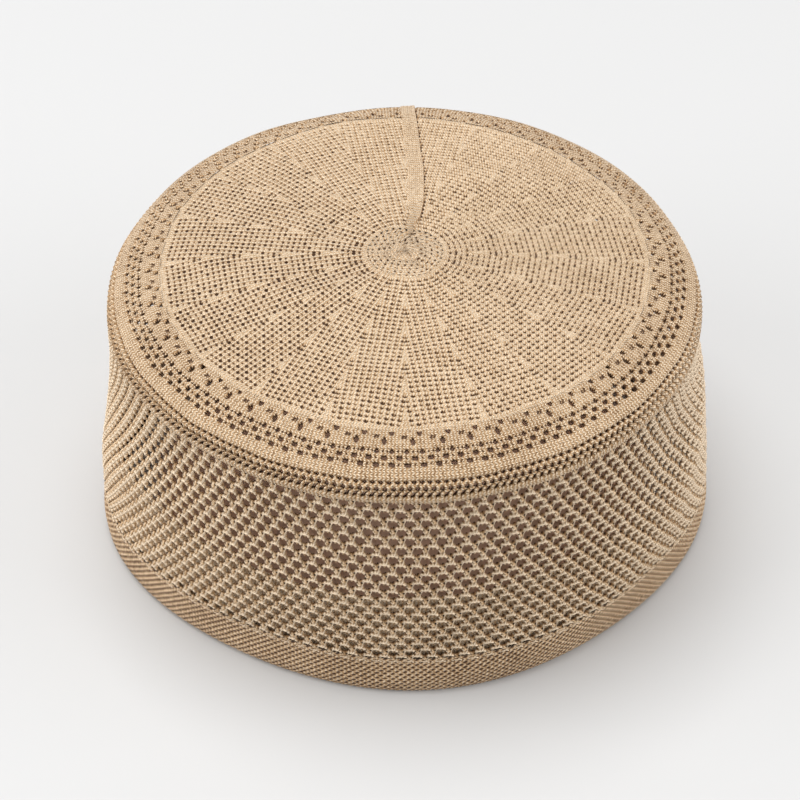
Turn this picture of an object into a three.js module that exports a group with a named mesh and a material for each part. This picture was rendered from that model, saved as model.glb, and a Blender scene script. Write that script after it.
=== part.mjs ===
// Knitted kufi: a brimless cap with a round crown, a pierced shoulder, a net side and a turned hem.
// Millimetres, +Z up. The cap stands on its hem. Its front is towards -Y and its back seam towards +Y.
// The origin is under the middle of the cap's box, on the surface that the hem rests on.

import * as THREE from "three";

// Sizes across the cap, all to the outside of the cloth: the rim of the crown, the ring of eyelets
// inside it, the shoulder's reach outside it and how far the hem stands out past the shoulder
const RIM_RADIUS = 84.0;
const EYELET_RING_WIDTH = 10.0;
const SHOULDER_REACH = 6.0;
const HEM_FLARE = 2.8;

// Heights, each counted from the one before it
const SIDE_HEIGHT = 78.9;
const SHOULDER_RISE = 9.8;
const CROWN_RISE = 8.0;
const HEM_HEIGHT = 14.0;
const FACING_HEIGHT = 40.0;

// Cloth
const WALL = 1.6;
const RIDGE_WALL = 2.0;
const FACING_WALL = 1.2;
const PIECE_GAP = 0.3;

// Fold at the foot of the hem
const FOLD_HEIGHT = 4.0;
const FOLD_WIDTH = 3.6;

// Back seam, which lies to the right of the middle, and the gather in the middle of the crown
const SEAM_WIDTH = 5.0;
const SEAM_SIDE_STEP = 2.3;
const SEAM_THICKNESS = 0.8;
const SEAM_STRETCHES = 8;
const GATHER_RADIUS = 4.2;
const GATHER_PUCKER = 0.5;
const GATHER_LOBES = 10;

// Net gaps of the topmost row, the one under the ridge band
const NET_GAPS = 120;
const NET_GAP_WIDTH = 3.2;
const NET_GAP_HEIGHT = 2.4;
const NET_GAP_DROP = 1.2;

// Facets round the cap, where each one holds a whole number of net gaps, and bands down each piece
const COLUMNS = 60;
const CROWN_BANDS = 6;
const EYELET_RING_BANDS = 2;
const RIDGE_BANDS = 4;
const NET_BANDS = 6;
const FACING_BANDS = 3;
const GATHER_STEPS_PER_LOBE = 4;

// Crown sections: radius as a share of the rim's radius, height as a share of the crown's rise
const CROWN_SECTIONS = [
  { place: "middle", across: 0.0, rise: 1.0 },
  { place: "inner crown", across: 0.24, rise: 0.955 },
  { place: "middle crown", across: 0.48, rise: 0.86 },
  { place: "outer crown", across: 0.7, rise: 0.69 },
  { place: "crown edge", across: 0.88, rise: 0.46 },
  { place: "eyelet ring", across: 0.95, rise: 0.24 },
  { place: "rim", across: 1.0, rise: 0.0 },
];

// Shoulder sections: radius as a share of the way from rim to shoulder, height as a share of its rise
const SHOULDER_SECTIONS = [
  { place: "upper roll", out: 0.44, rise: 0.81 },
  { place: "middle roll", out: 0.74, rise: 0.58 },
  { place: "lower roll", out: 0.96, rise: 0.28 },
  { place: "shoulder edge", out: 1.0, rise: 0.0 },
];

// Side sections: height as a share of the side's, radius as a share of the way from shoulder to hem
const SIDE_SECTIONS = [
  { place: "waist", up: 0.92, flare: -0.1 },
  { place: "upper net", up: 0.82, flare: -0.08 },
  { place: "middle net", up: 0.66, flare: 0.28 },
  { place: "lower net", up: 0.48, flare: 0.66 },
  { place: "facing top", up: 0.3, flare: 0.9 },
  { place: "hem top", up: 0.15, flare: 1.0 },
  { place: "hem", up: 0.05, flare: 0.97 },
  { place: "foot", up: 0.0, flare: 0.9 },
];

// Footprint: how far the hem's outline departs from a circle, as shares of its radius
const FOOTPRINT_WAVES = [
  { waves: 2, swing: 0.022, phaseDegrees: 0 },
  { waves: 3, swing: 0.024, phaseDegrees: -24.4 },
  { waves: 4, swing: 0.029, phaseDegrees: 5.1 },
];

// Foot of the hem: inward step as a share of the fold's width, height as a share of the fold's
const FOLD_SECTIONS = [
  { place: "outer turn", inward: 0.0, up: 1.2 },
  { place: "outer curl", inward: 0.08, up: 0.5 },
  { place: "outer edge of the flat", inward: 0.33, up: 0.0 },
  { place: "inner edge of the flat", inward: 0.83, up: 0.0 },
  { place: "inner curl", inward: 1.0, up: 0.35 },
  { place: "inner top", inward: 1.0, up: 1.0 },
];

// Gather: rings from its edge to its dimple, as shares of its radius and of its pucker
const GATHER_RINGS = [
  { place: "pucker", across: 0.65, pucker: 1.0 },
  { place: "dimple's edge", across: 0.3, pucker: 0.5 },
];

// Yarn colours
const CROWN_COLOR = "#ceb397";
const NET_COLOR = "#b3936f";
const HEM_COLOR = "#b8956f";
const SEAM_COLOR = "#d7bd9f";
const YARN_ROUGHNESS = 0.9;

const CROWN_RADIUS = RIM_RADIUS - EYELET_RING_WIDTH;
const SHOULDER_RADIUS = RIM_RADIUS + SHOULDER_REACH;
const HEM_RADIUS = SHOULDER_RADIUS + HEM_FLARE;
const RIM_HEIGHT = SIDE_HEIGHT + SHOULDER_RISE;
const BACK_ANGLE = Math.PI / 2;
const SEARCH_STEPS = 40;

// Half of the cap's outer section, as one smooth curve from the middle of the crown to its foot
const profilePoints = [
  ...CROWN_SECTIONS.map(({ across, rise }) =>
    new THREE.Vector2(across * RIM_RADIUS, RIM_HEIGHT + rise * CROWN_RISE)),
  ...SHOULDER_SECTIONS.map(({ out, rise }) =>
    new THREE.Vector2(
      THREE.MathUtils.lerp(RIM_RADIUS, SHOULDER_RADIUS, out),
      SIDE_HEIGHT + rise * SHOULDER_RISE)),
  ...SIDE_SECTIONS.map(({ up, flare }) =>
    new THREE.Vector2(THREE.MathUtils.lerp(SHOULDER_RADIUS, HEM_RADIUS, flare), up * SIDE_HEIGHT)),
];
const profile = new THREE.SplineCurve(profilePoints);

// Where along the profile a measure that only rises or only falls passes a value
function findPlace(measure, value) {
  const falls = measure(profile.getPoint(0)) > measure(profile.getPoint(1));
  let low = 0;
  let high = 1;
  for (let step = 0; step < SEARCH_STEPS; step += 1) {
    const middle = (low + high) / 2;
    const before = falls ? measure(profile.getPoint(middle)) > value
      : measure(profile.getPoint(middle)) < value;
    if (before) low = middle;
    else high = middle;
  }
  return (low + high) / 2;
}

// The place at a height, at a radius inside the shoulder, and at a distance along the cloth
// from another place
function placeAtHeight(height) {
  return findPlace((point) => point.y, height);
}

function placeAtRadius(radius) {
  return findPlace((point) => point.x, radius);
}

function placeAfter(place, distance) {
  const along = alongAt(place) + distance / profile.getLength();
  return profile.getUtoTmapping(THREE.MathUtils.clamp(along, 0, 1));
}

// The share of the cloth's length that lies before a place
function alongAt(place) {
  let low = 0;
  let high = 1;
  for (let step = 0; step < SEARCH_STEPS; step += 1) {
    const middle = (low + high) / 2;
    if (profile.getUtoTmapping(middle) < place) low = middle;
    else high = middle;
  }
  return (low + high) / 2;
}

// A point of the section, moved out of the cloth by a distance, or into it where that is negative
function sectionPoint(place, outward) {
  const point = profile.getPoint(place);
  const tangent = profile.getTangent(place);
  return new THREE.Vector2(point.x - tangent.y * outward, point.y + tangent.x * outward);
}

// The footprint's factor on a radius: full at the foot, none from the shoulder up
function footprint(angle, height) {
  const share = THREE.MathUtils.clamp(1 - height / SIDE_HEIGHT, 0, 1);
  const swing = FOOTPRINT_WAVES.reduce((sum, wave) =>
    sum + wave.swing * Math.cos(wave.waves * (angle - THREE.MathUtils.degToRad(wave.phaseDegrees))), 0);
  return 1 + share * swing;
}

function onCap(point, angle) {
  const radius = point.x * footprint(angle, point.y);
  return new THREE.Vector3(radius * Math.cos(angle), radius * Math.sin(angle), point.y);
}

// A list of corners and triangles that becomes one closed mesh
class SolidBuilder {
  constructor() {
    this.corners = [];
    this.triangles = [];
  }

  corner(point) {
    this.corners.push(point.x, point.y, point.z);
    return this.corners.length / 3 - 1;
  }

  triangle(a, b, c) {
    this.triangles.push(a, b, c);
  }

  quad(a, b, c, d) {
    this.triangle(a, b, c);
    this.triangle(a, c, d);
  }

  geometry() {
    const geometry = new THREE.BufferGeometry();
    geometry.setAttribute("position", new THREE.Float32BufferAttribute(this.corners, 3));
    geometry.setIndex(this.triangles);
    geometry.computeVertexNormals();
    return geometry;
  }
}

// A closed section swept once round the cap. Its corners run from the top down the outside
// and back up the inside. Faces between two section corners may be left out, for pierced rows.
function sweptRing(section, builder = new SolidBuilder(), openFaces = []) {
  const rings = section.map((point) =>
    Array.from({ length: COLUMNS }, (_, column) =>
      builder.corner(onCap(point, (column / COLUMNS) * 2 * Math.PI))));
  rings.forEach((ring, index) => {
    if (openFaces.includes(index)) return;
    const next = rings[(index + 1) % rings.length];
    for (let column = 0; column < COLUMNS; column += 1) {
      const right = (column + 1) % COLUMNS;
      builder.quad(ring[column], next[column], next[right], ring[right]);
    }
  });
  return { builder, rings };
}

// The section of a shell of even thickness between two places on the profile
function shellSection(from, to, bands, wall, outward = 0) {
  const places = Array.from({ length: bands + 1 }, (_, band) => THREE.MathUtils.lerp(from, to, band / bands));
  return [
    ...places.map((place) => sectionPoint(place, outward)),
    ...places.map((place) => sectionPoint(place, outward - wall)).reverse(),
  ];
}

// Outline of one net gap about its middle: flat top and bottom, a corner at each side
function gapOutline() {
  const side = NET_GAP_WIDTH / 2;
  const rise = NET_GAP_HEIGHT / 2;
  return [[-side, 0], [-side / 2, -rise], [side / 2, -rise], [side, 0], [side / 2, rise], [-side / 2, rise]];
}

// Closes a pierced row: the cloth between the gaps on both sides, and the walls through each gap
function pierceRow(builder, rings, rows) {
  const { topPlace, bottomPlace, outerTop, innerBottom } = rows;
  const top = sectionPoint(topPlace, 0);
  const bottom = sectionPoint(bottomPlace, 0);
  const innerSideTop = sectionPoint(topPlace, -WALL);
  const innerSideBottom = sectionPoint(bottomPlace, -WALL);
  const gapsPerColumn = Math.round(NET_GAPS / COLUMNS);
  const columnAngle = (2 * Math.PI) / COLUMNS;
  const columnWidth = columnAngle * top.x;
  const rowHeight = top.distanceTo(bottom);
  const contour = [[0, 0], [columnWidth, 0], [columnWidth, rowHeight], [0, rowHeight]];
  const holes = Array.from({ length: gapsPerColumn }, (_, gap) =>
    gapOutline().map(([x, y]) => [x + ((gap + 0.5) / gapsPerColumn) * columnWidth, y + rowHeight / 2]));
  const toVectors = (points) => points.map(([x, y]) => new THREE.Vector2(x, y));
  const faces = THREE.ShapeUtils.triangulateShape(toVectors(contour), holes.map(toVectors));
  for (let column = 0; column < COLUMNS; column += 1) {
    const right = (column + 1) % COLUMNS;
    const place = ([x, y], high, low) => onCap(
      new THREE.Vector2().lerpVectors(low, high, y / rowHeight), (column + x / columnWidth) * columnAngle);
    const outer = [rings[outerTop + 1][column], rings[outerTop + 1][right],
      rings[outerTop][right], rings[outerTop][column]];
    const inner = [rings[innerBottom][column], rings[innerBottom][right],
      rings[innerBottom + 1][right], rings[innerBottom + 1][column]];
    holes.forEach((hole) => {
      const outerLoop = hole.map((point) => builder.corner(place(point, top, bottom)));
      const innerLoop = hole.map((point) => builder.corner(place(point, innerSideTop, innerSideBottom)));
      hole.forEach((_, index) => {
        const next = (index + 1) % hole.length;
        builder.quad(outerLoop[index], outerLoop[next], innerLoop[next], innerLoop[index]);
      });
      outer.push(...outerLoop);
      inner.push(...innerLoop);
    });
    faces.forEach(([a, b, c]) => {
      builder.triangle(outer[a], outer[b], outer[c]);
      builder.triangle(inner[a], inner[c], inner[b]);
    });
  }
}

function makePiece(name, geometry, color) {
  const material = new THREE.MeshStandardMaterial({ color, roughness: YARN_ROUGHNESS, metalness: 0 });
  const mesh = new THREE.Mesh(geometry, material);
  mesh.name = name;
  return mesh;
}

// Places where one piece ends and the next begins
const halfGap = PIECE_GAP / 2;
const gatherPlace = placeAtRadius(GATHER_RADIUS);
const crownEdge = placeAtRadius(CROWN_RADIUS);
const rim = placeAtHeight(RIM_HEIGHT);
const shoulderEdge = placeAtHeight(SIDE_HEIGHT);
const hemTop = placeAtHeight(HEM_HEIGHT);

// Crown disc, open in its middle where the gather sits
function crownTop() {
  const from = placeAfter(gatherPlace, halfGap);
  const to = placeAfter(crownEdge, -halfGap);
  const section = shellSection(from, to, CROWN_BANDS, WALL);
  return makePiece("crown_top", sweptRing(section).builder.geometry(), CROWN_COLOR);
}

// Ring of the crown that carries the eyelet clusters and the three lattice rows
function eyeletRing() {
  const from = placeAfter(crownEdge, halfGap);
  const to = placeAfter(rim, -halfGap);
  const section = shellSection(from, to, EYELET_RING_BANDS, WALL);
  return makePiece("eyelet_ring", sweptRing(section).builder.geometry(), CROWN_COLOR);
}

// Rolled band over the shoulder, thicker than the rest and proud of the net below it
function ridgeBand() {
  const from = placeAfter(rim, halfGap);
  const to = placeAfter(shoulderEdge, -halfGap);
  const section = shellSection(from, to, RIDGE_BANDS, RIDGE_WALL, RIDGE_WALL - WALL);
  return makePiece("ridge_band", sweptRing(section).builder.geometry(), CROWN_COLOR);
}

// Net side with its topmost row of gaps cut through
function netSide() {
  const start = placeAfter(shoulderEdge, halfGap);
  const rowTop = placeAfter(start, NET_GAP_DROP - PIECE_GAP);
  const rowBottom = placeAfter(rowTop, NET_GAP_HEIGHT + 2 * PIECE_GAP);
  const end = placeAfter(hemTop, -halfGap);
  const places = [start, rowTop];
  for (let band = 0; band <= NET_BANDS; band += 1) {
    places.push(THREE.MathUtils.lerp(rowBottom, end, band / NET_BANDS));
  }
  const section = [
    ...places.map((place) => sectionPoint(place, 0)),
    ...places.map((place) => sectionPoint(place, -WALL)).reverse(),
  ];
  const outerTop = 1;
  const innerBottom = section.length - 1 - (outerTop + 1);
  const { builder, rings } = sweptRing(section, new SolidBuilder(), [outerTop, innerBottom]);
  pierceRow(builder, rings, { topPlace: rowTop, bottomPlace: rowBottom, outerTop, innerBottom });
  return makePiece("net_side", builder.geometry(), NET_COLOR);
}

// Plain edge of the side, folded in at its foot to a flat that the cap rests on
function hemBand() {
  const top = placeAfter(hemTop, halfGap);
  const foldTop = placeAtHeight(FOLD_HEIGHT * FOLD_SECTIONS[0].up);
  const wallPlaces = [top, (top + foldTop) / 2];
  const foot = FOLD_SECTIONS.map(({ inward, up }) => {
    const height = up * FOLD_HEIGHT;
    const outer = profile.getPoint(placeAtHeight(height));
    return new THREE.Vector2(outer.x - inward * FOLD_WIDTH, height);
  });
  const innerCorner = new THREE.Vector2(
    profile.getPoint(placeAtHeight(FOLD_HEIGHT)).x - WALL, FOLD_HEIGHT);
  const section = [
    ...wallPlaces.map((place) => sectionPoint(place, 0)),
    ...foot,
    innerCorner,
    ...wallPlaces.map((place) => sectionPoint(place, -WALL)).reverse(),
  ];
  return makePiece("hem_band", sweptRing(section).builder.geometry(), HEM_COLOR);
}

// Turned-in end of the cloth, standing on the fold behind the lower half of the net
function hemFacing() {
  const from = placeAtHeight(FACING_HEIGHT);
  const to = placeAtHeight(FOLD_HEIGHT + PIECE_GAP);
  const section = shellSection(from, to, FACING_BANDS, FACING_WALL, -WALL - PIECE_GAP);
  return makePiece("hem_facing", sweptRing(section).builder.geometry(), HEM_COLOR);
}

// Raised seam from the gather over the back of the crown and down the side to the foot of the hem
function backSeam() {
  const rise = SEAM_THICKNESS;
  const ridgeStart = placeAfter(rim, -PIECE_GAP);
  const ridgeEnd = placeAfter(shoulderEdge, PIECE_GAP);
  const runs = [
    { from: placeAfter(gatherPlace, rise), to: placeAfter(ridgeStart, -rise), proud: 0 },
    { from: ridgeStart, to: ridgeEnd, proud: RIDGE_WALL - WALL },
    { from: placeAfter(ridgeEnd, rise), to: placeAtHeight(FOLD_HEIGHT), proud: 0 },
  ];
  const builder = new SolidBuilder();
  const frames = runs.flatMap(({ from, to, proud }) =>
    Array.from({ length: SEAM_STRETCHES + 1 }, (_, stretch) => {
      const along = THREE.MathUtils.lerp(alongAt(from), alongAt(to), stretch / SEAM_STRETCHES);
      const place = profile.getUtoTmapping(along);
      const corner = (side, lift) => {
        const point = onCap(sectionPoint(place, proud + PIECE_GAP + lift), BACK_ANGLE);
        point.x = SEAM_SIDE_STEP + (side * SEAM_WIDTH) / 2;
        return builder.corner(point);
      };
      return [corner(-1, 0), corner(1, 0), corner(1, rise / 2), corner(0, rise), corner(-1, rise / 2)];
    }));
  for (let stretch = 0; stretch < frames.length - 1; stretch += 1) {
    const near = frames[stretch];
    const far = frames[stretch + 1];
    near.forEach((_, index) => {
      const next = (index + 1) % near.length;
      builder.quad(near[index], far[index], far[next], near[next]);
    });
  }
  const capEnd = (frame, flip) => {
    for (let index = 1; index < frame.length - 1; index += 1) {
      if (flip) builder.triangle(frame[0], frame[index], frame[index + 1]);
      else builder.triangle(frame[0], frame[index + 1], frame[index]);
    }
  };
  capEnd(frames[0], true);
  capEnd(frames[frames.length - 1], false);
  return makePiece("back_seam", builder.geometry(), SEAM_COLOR);
}

// Puckered middle of the crown, where the knitting is drawn together
function crownGather() {
  const radius = GATHER_RADIUS - halfGap;
  const top = profile.getPoint(0).y;
  const steps = GATHER_LOBES * GATHER_STEPS_PER_LOBE;
  const builder = new SolidBuilder();
  const rings = [
    { across: 1, pucker: 0, height: top - WALL },
    { across: 1, pucker: 0, height: top },
    ...GATHER_RINGS.map((ring) => ({ ...ring, height: top })),
  ].map(({ across, pucker, height }) => Array.from({ length: steps }, (_, step) => {
    const angle = (step / steps) * 2 * Math.PI;
    const lift = (pucker * GATHER_PUCKER * (1 + Math.cos(GATHER_LOBES * angle))) / 2;
    return builder.corner(new THREE.Vector3(
      across * radius * Math.cos(angle), across * radius * Math.sin(angle), height + lift));
  }));
  const lastRing = rings[rings.length - 1];
  const under = builder.corner(new THREE.Vector3(0, 0, top - WALL));
  const dimple = builder.corner(new THREE.Vector3(0, 0, top - GATHER_PUCKER));
  for (let step = 0; step < steps; step += 1) {
    const next = (step + 1) % steps;
    builder.triangle(under, rings[0][next], rings[0][step]);
    builder.triangle(dimple, lastRing[step], lastRing[next]);
    for (let ring = 0; ring < rings.length - 1; ring += 1) {
      builder.quad(rings[ring][step], rings[ring][next], rings[ring + 1][next], rings[ring + 1][step]);
    }
  }
  return makePiece("crown_gather", builder.geometry(), SEAM_COLOR);
}

const kufi = new THREE.Group();
kufi.add(crownTop(), eyeletRing(), ridgeBand(), netSide(), hemBand(), hemFacing(), backSeam(), crownGather());

// The footprint isn't even, so the cap is moved until the origin is under the middle of its box
const middle = new THREE.Box3().setFromObject(kufi).getCenter(new THREE.Vector3());
kufi.position.set(-middle.x, -middle.y, 0);

export default kufi;
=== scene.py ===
"""A knitted kufi on a pale floor: net side, pierced shoulder band, lattice crown and a back seam."""

import math

import bmesh
import bpy
import numpy as np
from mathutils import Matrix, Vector


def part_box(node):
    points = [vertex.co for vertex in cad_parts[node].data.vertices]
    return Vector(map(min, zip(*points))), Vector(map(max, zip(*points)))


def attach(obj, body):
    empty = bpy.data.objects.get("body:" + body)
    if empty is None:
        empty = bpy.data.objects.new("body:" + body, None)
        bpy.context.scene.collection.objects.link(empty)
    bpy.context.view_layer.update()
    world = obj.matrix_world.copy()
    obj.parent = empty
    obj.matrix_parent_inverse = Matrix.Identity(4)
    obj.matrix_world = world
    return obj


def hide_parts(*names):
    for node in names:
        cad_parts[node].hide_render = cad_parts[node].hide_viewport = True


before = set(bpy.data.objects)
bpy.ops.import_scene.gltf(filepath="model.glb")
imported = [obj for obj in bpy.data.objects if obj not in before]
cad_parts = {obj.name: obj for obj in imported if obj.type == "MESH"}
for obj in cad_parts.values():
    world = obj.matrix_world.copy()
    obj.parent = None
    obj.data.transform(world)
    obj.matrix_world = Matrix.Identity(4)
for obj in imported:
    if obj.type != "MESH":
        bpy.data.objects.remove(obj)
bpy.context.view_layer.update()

MM = 0.001

# Driving dimensions of the cloth, in millimetres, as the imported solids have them
RIM_RADIUS = 84.0
EYELET_RING_WIDTH = 10.0
SHOULDER_REACH = 6.0
HEM_FLARE = 2.8
SIDE_HEIGHT = 78.9
SHOULDER_RISE = 9.8
CROWN_RISE = 8.0
HEM_HEIGHT = 14.0
FACING_HEIGHT = 40.0
FOLD_HEIGHT = 4.0
FOLD_WIDTH = 3.6
WALL = 1.6
RIDGE_PROUD = 0.4
PIECE_GAP = 0.3
SEAM_WIDTH = 5.0
SEAM_THICKNESS = 0.8
GATHER_RADIUS = 4.2

# Crown sections: radius as a share of the rim's, height as a share of the crown's rise
CROWN_SECTIONS = [
    # across, rise
    (0.00, 1.000),
    (0.24, 0.955),
    (0.48, 0.860),
    (0.70, 0.690),
    (0.88, 0.460),
    (0.95, 0.240),
    (1.00, 0.000),
]

# Shoulder sections: share of the shoulder's reach, height as a share of its rise
SHOULDER_SECTIONS = [
    # out, rise
    (0.44, 0.81),
    (0.74, 0.58),
    (0.96, 0.28),
    (1.00, 0.00),
]

# Side sections: height as a share of the side's, radius as a share of the hem's flare
SIDE_SECTIONS = [
    # up, flare
    (0.92, -0.10),
    (0.82, -0.08),
    (0.66, 0.28),
    (0.48, 0.66),
    (0.30, 0.90),
    (0.15, 1.00),
    (0.05, 0.97),
    (0.00, 0.90),
]

# Footprint of the hem: how far it departs from a circle, as shares of its radius
FOOTPRINT_WAVES = [
    # waves, swing, phase in degrees
    (2, 0.022, 0.0),
    (3, 0.024, -24.4),
    (4, 0.029, 5.1),
]

# Camera: the photo's viewing angle
CAMERA_DISTANCE = 800.0
CAMERA_ELEVATION = math.radians(42.26)
CAMERA_AIM_HEIGHT = 36.2
CAMERA_SIDE_STEP = -1.5
CAMERA_LENS = 113.7
CAMERA_SENSOR = 36.0

# Knitting: courses run from the crown's middle to the hem, wales run round the cap
COURSES = 480
WALE = 1.45
NET_GAPS = 120
NET_PITCH = 4.7
RIDGE_GAPS = 240
CLUSTERS = 60
WEDGES = 20

crown_low, crown_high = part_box("crown_gather")
AXIS_X = (crown_low.x + crown_high.x) / 2
AXIS_Y = (crown_low.y + crown_high.y) / 2


# Camera first
def make_camera():
    """A camera that looks down on the cap's front, as the photo does."""
    data = bpy.data.cameras.new("camera")
    data.lens = CAMERA_LENS
    data.sensor_width = CAMERA_SENSOR
    data.clip_start = 0.05
    camera = bpy.data.objects.new("camera", data)
    aim = Vector((AXIS_X + CAMERA_SIDE_STEP * MM, AXIS_Y, CAMERA_AIM_HEIGHT * MM))
    away = Vector((0, -math.cos(CAMERA_ELEVATION), math.sin(CAMERA_ELEVATION)))
    camera.location = aim + away * CAMERA_DISTANCE * MM
    camera.rotation_mode = "QUATERNION"
    facing = (-away).to_track_quat("-Z", "Y")
    camera.rotation_quaternion = facing
    bpy.context.scene.collection.objects.link(camera)
    bpy.context.scene.camera = camera
    return camera


make_camera()


# Shape of the cloth
def spline(points, steps):
    """A curve through all the points, with its ends clamped. Returns steps rows of (x, y)."""
    points = np.array(points)
    at = np.linspace(0, len(points) - 1, steps)
    index = np.minimum(at.astype(int), len(points) - 2)
    share = (at - index)[:, None]
    last = len(points) - 1
    before = points[np.maximum(index - 1, 0)]
    start = points[index]
    end = points[index + 1]
    after = points[np.minimum(index + 2, last)]
    slope_start = (end - before) / 2
    slope_end = (after - start) / 2
    return (
        (2 * start - 2 * end + slope_start + slope_end) * share**3
        + (-3 * start + 3 * end - 2 * slope_start - slope_end) * share**2
        + slope_start * share
        + start
    )


class Profile:
    """Half of the cap's section, measured by the length of cloth from the crown's middle."""

    STEPS = 4000

    def __init__(self):
        rim_height = SIDE_HEIGHT + SHOULDER_RISE
        points = [(a * RIM_RADIUS, rim_height + h * CROWN_RISE) for a, h in CROWN_SECTIONS]
        points += [
            (RIM_RADIUS + o * SHOULDER_REACH, SIDE_HEIGHT + h * SHOULDER_RISE)
            for o, h in SHOULDER_SECTIONS
        ]
        shoulder = RIM_RADIUS + SHOULDER_REACH
        points += [(shoulder + f * HEM_FLARE, up * SIDE_HEIGHT) for up, f in SIDE_SECTIONS]
        curve = spline(points, self.STEPS)
        steps = np.diff(curve, axis=0)
        lengths = np.hypot(steps[:, 0], steps[:, 1])
        self.along = np.concatenate([[0], np.cumsum(lengths)])
        self.radius, self.height = curve.T
        tangent = np.gradient(curve, axis=0)
        tangent /= np.hypot(tangent[:, 0], tangent[:, 1])[:, None]
        self.out_radius = -tangent[:, 1]
        self.out_height = tangent[:, 0]

    def at_height(self, height):
        """Length of cloth down to a height."""
        return float(np.interp(-height, -self.height, self.along))

    def at_radius(self, radius):
        """Length of cloth out to a radius of the crown."""
        inner = self.along[self.radius <= RIM_RADIUS]
        return float(np.interp(radius, self.radius[: len(inner)], inner))

    def point(self, along, lift):
        """Radius and height of the cloth at a length along it, lifted off it."""
        radius = np.interp(along, self.along, self.radius)
        height = np.interp(along, self.along, self.height)
        radius = radius + lift * np.interp(along, self.along, self.out_radius)
        height = height + lift * np.interp(along, self.along, self.out_height)
        return radius, height


profile = Profile()
GATHER_EDGE = profile.at_radius(GATHER_RADIUS)
CROWN_EDGE = profile.at_radius(RIM_RADIUS - EYELET_RING_WIDTH)
RIM = profile.at_height(SIDE_HEIGHT + SHOULDER_RISE)
SHOULDER_EDGE = profile.at_height(SIDE_HEIGHT)
HEM_TOP = profile.at_height(HEM_HEIGHT)


def footprint(angle, height):
    """Factor on a radius: the hem's outline at the foot, a circle from the shoulder up."""
    swing = sum(s * np.cos(w * (angle - math.radians(p))) for w, s, p in FOOTPRINT_WAVES)
    return 1 + np.clip(1 - height / SIDE_HEIGHT, 0, 1) * swing


def in_frame(radius, angle, height):
    """Points in metres in the frame, from a radius, an angle and a height in millimetres."""
    radius = radius * footprint(angle, height)
    x = radius * np.cos(angle) * MM + AXIS_X
    y = radius * np.sin(angle) * MM + AXIS_Y
    return np.stack([x, y, height * MM + 0 * x], axis=-1)


def on_cloth(angle, along, lift):
    """Points on the cloth, lifted off it."""
    radius, height = profile.point(along, lift)
    return in_frame(radius, angle, height)


# Knitting as a mesh
EDGE_ROUND = 0.5
EDGE_DROP = 0.9


def edge_drop(yarn, drop):
    """How far the cloth falls away near the edge of a hole, as a strand does at its side."""
    near = 1 - np.clip(yarn / EDGE_ROUND, 0, 1)
    return drop * (1 - np.sqrt(1 - near**2))


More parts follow.
